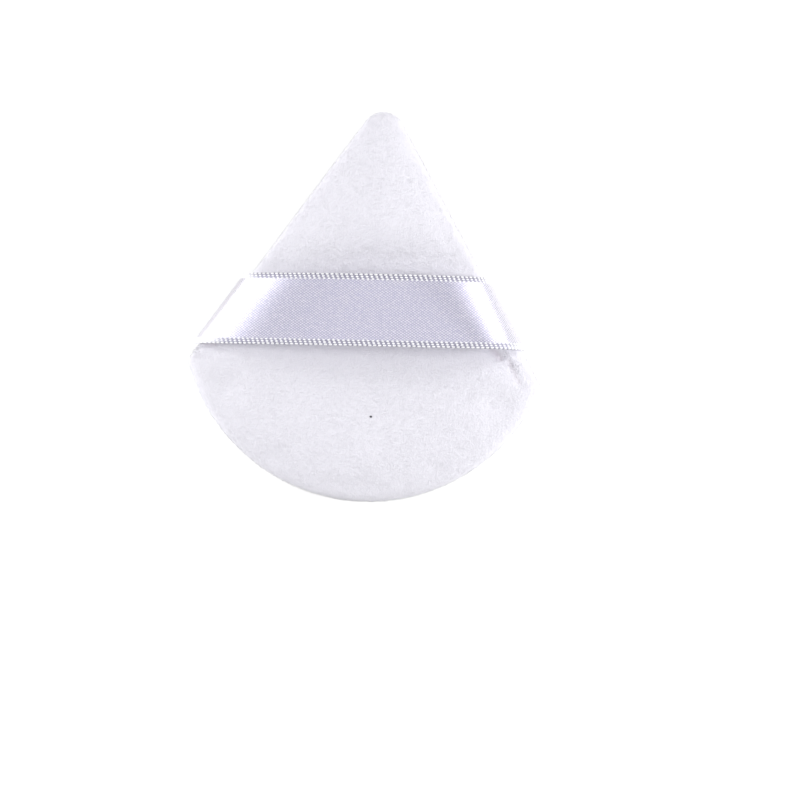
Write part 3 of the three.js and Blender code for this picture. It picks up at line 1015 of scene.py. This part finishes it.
def cloth_body(name, grid, thickness):
    """A sheet with two faces and closed edges, and its weave coordinates in metres."""
    normal = unit(np.cross(np.gradient(grid, axis=1), np.gradient(grid, axis=0)))
    across, along = grid.shape[:2]
    upper = (grid + normal * thickness / 2).reshape(-1, 3)
    lower = (grid - normal * thickness / 2).reshape(-1, 3)
    shift = len(upper)
    faces = []
    for i in range(across - 1):
        for j in range(along - 1):
            a, b = i * along + j, (i + 1) * along + j
            faces.append((a, a + 1, b + 1, b))
            faces.append((shift + a, shift + b, shift + b + 1, shift + a + 1))
    for i in range(across - 1):
        for j in (0, along - 1):
            a, b = i * along + j, (i + 1) * along + j
            faces.append((a, b, shift + b, shift + a))
    for j in range(along - 1):
        for i in (0, across - 1):
            a = i * along + j
            faces.append((a, shift + a, shift + a + 1, a + 1))
    piece = new_object(name, np.vstack([upper, lower]), faces)
    runs = np.array([run_lengths(line) - run_lengths(line)[-1] / 2 for line in grid])
    widths = np.linspace(-0.5, 0.5, across)[:, None] * np.ones((1, along))
    weave = np.stack([runs, widths, runs / runs[:, -1:]], axis=2).reshape(-1, 3)
    attribute = piece.data.attributes.new("weave", "FLOAT_VECTOR", "POINT")
    attribute.data.foreach_set("vector", np.vstack([weave, weave]).astype(np.float32).ravel())
    return piece


# Sizes in the satin and its selvedge: slubs, relief of the weave, fibres and their relief
SLUB_SPOT = 0.45 * MM
WEAVE_RELIEF = 0.05 * MM
SELVEDGE_FIBRE = 0.12 * MM
SELVEDGE_RELIEF = 0.04 * MM
# Shares of the way from the ribbon's middle to an end between which a highlight is painted on the ends, where
# the weave loses its dark binding points and the selvedge's gaps turn white, and between which painted light
# marks where the right and the left end turn down to the seam
END_HIGHLIGHTS = (0.66, 0.84)
RIGHT_TURN_LIGHT = (0.71, 0.81)
LEFT_TURN_LIGHT = (0.8, 0.87)
# Share of the selvedge's width at which it is wholly selvedge
SELVEDGE_SHARE = 0.85


def satin_finish(colours, size):
    finish = Finish("satin", roughness=0.3, metallic=0.45, sheen_weight=0.1)
    along, share, end = finish.split(finish.attribute("weave"))
    across = share * size.width
    warp = (along * (2 * math.pi / size.float_pitch)).sine()
    floats = warp * (across * (2 * math.pi / size.pick_pitch)).sine()
    slub = finish.noise(finish.place(), SLUB_SPOT)
    # Painted highlight towards the ends: the weave evens out to the face colour and the selvedge's gaps turn
    # white
    end_highlight = end.absolute().smooth(*END_HIGHLIGHTS)
    weave = (floats * 0.45 + 0.5 + (slub - 0.5) * 0.8 + end_highlight * 0.6).smooth(0.1, 0.9)
    body = finish.mix(weave, opaque(colours.satin_shade), opaque(colours.satin))
    # Painted light, lighter than the face, where the ends turn down to the seam
    turning = end.smooth(*RIGHT_TURN_LIGHT) * 0.8 + (end * -1.0).smooth(*LEFT_TURN_LIGHT) * 0.6
    body = finish.mix(turning, body, opaque(colours.satin_turn_light))
    inner = size.width / 2 - size.selvedge
    edge = across.absolute().smooth(inner, size.width / 2 - size.selvedge * SELVEDGE_SHARE)
    # Painted shade between the beads, giving way to a painted highlight towards the ends
    gap = finish.mix(end_highlight, opaque(colours.gap), opaque(colours.selvedge))
    finish.set("Base Color", finish.mix(edge, body, gap))
    finish.set("Roughness", 0.2 + weave * 0.1 + edge * 0.3)
    finish.set("Normal", finish.bump(weave, WEAVE_RELIEF, 0.35))
    finish.let_through(opaque(colours.satin), 0.2)
    return finish


def selvedge_finish(colours):
    finish = Finish("selvedge", roughness=0.45, sheen_weight=0.5)
    fibre = finish.noise(finish.stretch(finish.place(), (1.0, 3.0, 1.0)), SELVEDGE_FIBRE)
    finish.fibrous(fibre, colours.selvedge, 0.93, SELVEDGE_RELIEF)
    return finish


# How far on each side of a point its line's direction is read
LOOK_AHEAD = 0.2 * MM


def along_line(points, distance):
    """Point and direction on a line of points, some way along it."""
    runs = run_lengths(points)
    at, ahead, behind = (np.array([np.interp(distance + step, runs, points[:, k]) for k in range(3)])
                         for step in (0.0, LOOK_AHEAD, -LOOK_AHEAD))
    return at, ahead - behind


# Rows of weft loops: inset in millimetres, start as a share of a pick, length and width in millimetres
BEAD_ROWS = (
    (0.14, 0.5, 0.92, 0.4),
    (0.52, 1.0, 0.73, 0.46),
    (0.9, 0.5, 0.71, 0.42),
)
# How much thicker a bead is than the satin, and how far inside its row the satin's tilt is read
BEAD_SWELL = 0.16 * MM
BEAD_REACH = 0.5 * MM


def round_bead():
    """Points and triangles of a ball of one unit across."""
    deselect()
    bpy.ops.mesh.primitive_ico_sphere_add(subdivisions=2, radius=0.5)
    ball = bpy.context.object
    points = np.array([v.co for v in ball.data.vertices])
    triangles = [tuple(p.vertices) for p in ball.data.polygons]
    bpy.data.objects.remove(ball)
    return points, triangles


def bead_axes(forward, outward):
    """Directions of a bead's length, width and height, as the rows of a matrix."""
    x_axis = forward / np.linalg.norm(forward)
    z_axis = np.cross(x_axis, outward)
    z_axis /= np.linalg.norm(z_axis)
    return np.array([x_axis, np.cross(z_axis, x_axis), z_axis])


def make_beads(ribbon, size):
    """Weft loops on each edge of the ribbon, each row half a pick off the row before it."""
    shape, triangles = round_bead()
    vertices, faces = [], []
    for edge in (-1, 1):
        for inset, phase, length, width in BEAD_ROWS:
            bead_size = np.array([length * MM, width * MM, size.thickness + BEAD_SWELL])
            inset = inset * MM
            rail = ribbon.line(edge * (size.width / 2 - inset))
            inner = ribbon.line(edge * (size.width / 2 - inset - BEAD_REACH))
            total = run_lengths(rail)[-1]
            for k in range(int(total / size.pick)):
                distance = (k + phase) * size.pick
                if distance > total - size.pick / 2:
                    continue
                at, forward = along_line(rail, distance)
                beside, _ = along_line(inner, distance)
                start = len(vertices)
                vertices.extend((shape * bead_size) @ bead_axes(forward, (at - beside) * edge) + at)
                faces.extend(tuple(start + i for i in triangle) for triangle in triangles)
    return new_object("ribbon_selvedge", vertices, faces)


class PUFF_OT_ribbon(bpy.types.Operator):
    """The satin finger ribbon with its woven edges"""
    bl_idname = "puff.ribbon"
    bl_label = "Satin Ribbon"

    def execute(self, context):
        size = context.scene.puff_ribbon
        ribbon = Ribbon(Pad(context.scene.puff_pad), size)
        grid = ribbon.grid(RIBBON_LINES)
        satin = cloth_body("satin_ribbon", grid, size.thickness)
        dress(satin, satin_finish(context.scene.puff_finishes, size))
        seat(satin, "satin", "ribbon_strap")
        beads = make_beads(ribbon, size)
        dress(beads, selvedge_finish(context.scene.puff_finishes))
        seat(beads, "satin")
        return {"FINISHED"}


# Threads

# Rings in half a turn of the plies, and points in a ring
CORD_RINGS = 5
CORD_SIDES = 10
# Shares of a cord's radius: between the plies, and what a ply adds
WAIST_SHARE = 0.7
PLY_SHARE = 0.3
# Points in one slip stitch
SLIP_STEPS = 16
THREAD_FIBRE = 0.08 * MM
THREAD_RELIEF = 0.03 * MM


def twisted_cord(name, points, size):
    """Two-ply thread along a line of points: a closed tube whose two lobes turn on the way."""
    runs = run_lengths(points)
    count = int(runs[-1] / size.lay * CORD_RINGS)
    at = np.linspace(0.0, runs[-1], count)
    middle = np.stack([np.interp(at, runs, points[:, k]) for k in range(3)], axis=1)
    forward = unit(np.gradient(middle, axis=0))
    side = unit(np.cross(forward, (0.0, 0.0, 1.0)))
    other = np.cross(side, forward)
    rings = []
    for k in range(count):
        ring = []
        for angle in np.arange(CORD_SIDES) * (2 * math.pi / CORD_SIDES):
            ply = abs(math.cos(angle - math.pi * at[k] / size.lay))
            reach = size.radius * (WAIST_SHARE + PLY_SHARE * ply)
            ring.append(middle[k] + reach * (side[k] * math.cos(angle) + other[k] * math.sin(angle)))
        rings.append(ring)
    return ring_mesh(name, rings, middle[0], middle[-1])


def seam_line(pad, size):
    """The machine seam: from one end of the turning gap, round the tip, to its other end."""
    rim = pad.ring(pad.rim(pad.size.spacing), size.seam_inset)
    gap = np.nonzero((np.abs(rim[:, 0]) < size.turning_gap / 2) & (rim[:, 1] < 0))[0]
    plan = np.concatenate([rim[gap[-1] + 1:], rim[:gap[0]]])
    return np.hstack([plan, np.full((len(plan), 1), pad.size.seam_height)])


def slip_line(pad, size):
    """The hand stitches that close the turning gap, up and down across the seam groove."""
    count = round(size.turning_gap / size.slip_pitch)
    radius = pad.base_radius - size.slip_inset
    points = []
    for share in np.linspace(0.0, 1.0, SLIP_STEPS * count + 1):
        angle = size.turning_gap * (share - 0.5) / pad.base_radius - QUARTER
        rise = size.slip_rise * math.sin(2 * math.pi * share * count)
        points.append((radius * math.cos(angle), pad.base[1] + radius * math.sin(angle),
                       pad.size.seam_height + rise))
    return np.array(points)


def tack_line(ribbon, size, side):
    """The zigzag that holds one ribbon end to the back panel."""
    length = ribbon.size.width - 2 * size.tack_margin
    count = 2 * round(length / size.tack_pitch)
    points = []
    for k in range(count + 1):
        swing = size.tack_swing * (1 if k % 2 else -1)
        points.append(ribbon.point(side, length * (k / count - 0.5), size.tack_inset + swing, size.tack_rise))
    return np.array(points)


def thread_finish(colours):
    finish = Finish("thread", roughness=0.55, sheen_weight=0.2)
    finish.fibrous(finish.noise(finish.place(), THREAD_FIBRE), colours.thread, 0.8, THREAD_RELIEF)
    return finish


class PUFF_OT_threads(bpy.types.Operator):
    """The seam, the slip stitches of the turning gap and the two tacks"""
    bl_idname = "puff.threads"
    bl_label = "Threads"

    def execute(self, context):
        size = context.scene.puff_threads
        pad = Pad(context.scene.puff_pad)
        ribbon = Ribbon(pad, context.scene.puff_ribbon)
        finish = thread_finish(context.scene.puff_finishes)
        lines = {
            "seam_thread": seam_line(pad, size),
            "closing_thread": slip_line(pad, size),
            "left_ribbon_tack": tack_line(ribbon, size, -1),
            "right_ribbon_tack": tack_line(ribbon, size, 1),
        }
        for node, points in lines.items():
            name = node.replace("thread", "stitches").replace("tack", "basting")
            thread = twisted_cord(name, points, size)
            dress(thread, finish)
            seat(thread, "thread", node)
        return {"FINISHED"}


# Studio

WHITE = (1.0, 1.0, 1.0)


def make_world(strength):
    world = bpy.data.worlds.new("studio")
    bpy.context.scene.world = world
    world.use_nodes = True
    nodes = Nodes(world.node_tree)
    lit = nodes.add("ShaderNodeBackground", {}, {"Color": opaque(WHITE), "Strength": strength})
    seen = nodes.add("ShaderNodeBackground", {}, {"Color": opaque(WHITE)})
    nodes.add("ShaderNodeOutputWorld", {}, {"Surface": nodes.lit_for_camera(seen, lit).outputs[0]})


# The floor: its side, how far it lies below the puff, its grain, and its darkest and palest grey
FLOOR_SIDE = 6.0
FLOOR_DROP = 0.02 * MM
PAPER_GRAIN = 2 * MM
PAPER_DARK = 0.59
PAPER_PALE = 0.61
# What the floor adds where it is seen, near the puff and far off, so that it ends in white
GLOW_NEAR = 0.55
GLOW_FAR = 1.0
# Between these distances from the puff, the near glow turns into the far one
GLOW_TURNS = (0.1, 0.6)


def make_floor():
    deselect()
    bpy.ops.mesh.primitive_plane_add(size=FLOOR_SIDE, location=(0.0, 0.0, 0.0))
    floor = bpy.context.object
    floor.name = "studio_floor"
    floor.data.transform(Matrix.Translation((0.0, 0.0, -FLOOR_DROP)))
    finish = Finish("floor_paper", roughness=0.95)
    grain = finish.noise(finish.place(), PAPER_GRAIN)
    finish.set("Base Color", finish.mix(grain, opaque(WHITE, PAPER_DARK), opaque(WHITE, PAPER_PALE)))
    apart = finish.add("ShaderNodeVectorMath", {"operation": "LENGTH"}, {0: finish.place()})
    far = Wire(finish, apart.outputs["Value"]).smooth(*GLOW_TURNS)
    tone = finish.mix(far, opaque(WHITE, GLOW_NEAR), opaque(WHITE, GLOW_FAR))
    glow = finish.add("ShaderNodeEmission", {}, {"Color": tone})
    both = finish.add("ShaderNodeAddShader", {}, {0: finish.surface.outputs[0], 1: glow.outputs[0]})
    shown = finish.lit_for_camera(both, finish.surface)
    finish.plug(finish.output.inputs["Surface"], shown.outputs[0])
    finish.material.cycles.emission_sampling = "NONE"
    dress(floor, finish)


class SoftBox(NamedTuple):
    """Place of a soft box's middle, its width and height, and the point that it faces, in metres"""
    middle: tuple
    size: tuple
    faces: tuple


# Boxes to the right of the puff have a twin to its left
SIDE_BOX = SoftBox((0.6, 0.02, 0.245), (0.2, 0.44), (0.0, 0.02, 0.245))
CORNER_BOX = SoftBox((0.51, 0.32, 0.2), (0.16, 0.38), (0.0, 0.0, 0.2))
TOP_BOX = SoftBox((0.0, 0.0, 0.64), (0.9, 0.5), (0.0, 0.0, 0.006))
LOWER_BOX = SoftBox((0.0, -0.42, 0.36), (0.5, 0.25), (0.0, 0.0, 0.006))


def soft_box(name, box, power, side=1):
    """Adds one lamp. With side -1 it is the twin to the left."""
    light = bpy.data.lights.new(name, "AREA")
    light.shape = "RECTANGLE"
    light.size, light.size_y = box.size
    light.energy = power
    lamp = bpy.data.objects.new(name, light)
    bpy.context.scene.collection.objects.link(lamp)
    lamp.location = (side * box.middle[0], *box.middle[1:])
    lamp.rotation_euler = (Vector(box.faces) - lamp.location).to_track_quat("-Z", "Y").to_euler()


def make_camera(settings, pad):
    """Puts the tip of the pad on its pixel, at the photographed size and turn."""
    camera = bpy.data.cameras.new("camera")
    camera.sensor_width = 36.0
    rig = bpy.data.objects.new("camera", camera)
    bpy.context.scene.collection.objects.link(rig)
    camera.lens = settings.scale * settings.distance * camera.sensor_width / settings.frame_px
    camera.clip_start = 0.01
    right = Vector((math.cos(settings.roll), math.sin(settings.roll), 0.0))
    up = Vector((-math.sin(settings.roll), math.cos(settings.roll), 0.0))
    middle = settings.frame_px / 2
    tip = Vector((0.0, pad.size.length / 2, pad.size.seam_height))
    aim = tip + right * (middle - settings.tip_x) / settings.scale
    aim -= up * (middle - settings.tip_y) / settings.scale
    turn = Matrix((right, up, Vector((0.0, 0.0, 1.0)))).transposed().to_4x4()
    rig.matrix_world = Matrix.Translation(aim + Vector((0.0, 0.0, settings.distance))) @ turn
    bpy.context.scene.camera = rig


class PUFF_OT_studio(bpy.types.Operator):
    """Floor, soft boxes, world and camera"""
    bl_idname = "puff.studio"
    bl_label = "Studio"

    def execute(self, context):
        settings = context.scene.puff_studio
        make_floor()
        make_world(settings.world)
        soft_box("left_box", SIDE_BOX, settings.left, -1)
        soft_box("right_box", SIDE_BOX, settings.right)
        soft_box("upper_left_box", CORNER_BOX, settings.corner, -1)
        soft_box("upper_right_box", CORNER_BOX, settings.corner)
        soft_box("top_box", TOP_BOX, settings.top)
        soft_box("lower_box", LOWER_BOX, settings.lower)
        make_camera(settings, Pad(context.scene.puff_pad))
        context.scene.view_settings.view_transform = "Standard"
        return {"FINISHED"}


class PUFF_PT_sidebar(bpy.types.Panel):
    """Lists what builds the puff"""
    bl_label = "Powder Puff"
    bl_idname = "PUFF_PT_sidebar"
    bl_space_type = "VIEW_3D"
    bl_region_type = "UI"
    bl_category = "Puff"

    def draw(self, context):
        for operator in OPERATORS:
            self.layout.operator(operator.bl_idname)
        for name in SETTINGS:
            group = getattr(context.scene, name)
            for key in group.bl_rna.properties.keys():
                if key not in ("name", "rna_type"):
                    self.layout.prop(group, key)


OPERATORS = (PUFF_OT_studio, PUFF_OT_velour, PUFF_OT_core, PUFF_OT_ribbon, PUFF_OT_threads)
SETTINGS = {
    "puff_pad": PadSizes,
    "puff_ribbon": RibbonSizes,
    "puff_threads": ThreadSizes,
    "puff_finishes": Finishes,
    "puff_studio": StudioSettings,
}


def register():
    for group in SETTINGS.values():
        bpy.utils.register_class(group)
    for name, group in SETTINGS.items():
        setattr(bpy.types.Scene, name, PointerProperty(type=group))
    for operator in OPERATORS:
        bpy.utils.register_class(operator)
    bpy.utils.register_class(PUFF_PT_sidebar)


def unregister():
    bpy.utils.unregister_class(PUFF_PT_sidebar)
    for operator in reversed(OPERATORS):
        bpy.utils.unregister_class(operator)
    for name, group in SETTINGS.items():
        delattr(bpy.types.Scene, name)
        bpy.utils.unregister_class(group)


def main():
    register()
    bpy.ops.puff.studio()
    bpy.ops.puff.velour()
    bpy.ops.puff.core()
    bpy.ops.puff.ribbon()
    bpy.ops.puff.threads()


if __name__ == "__main__":
    main()
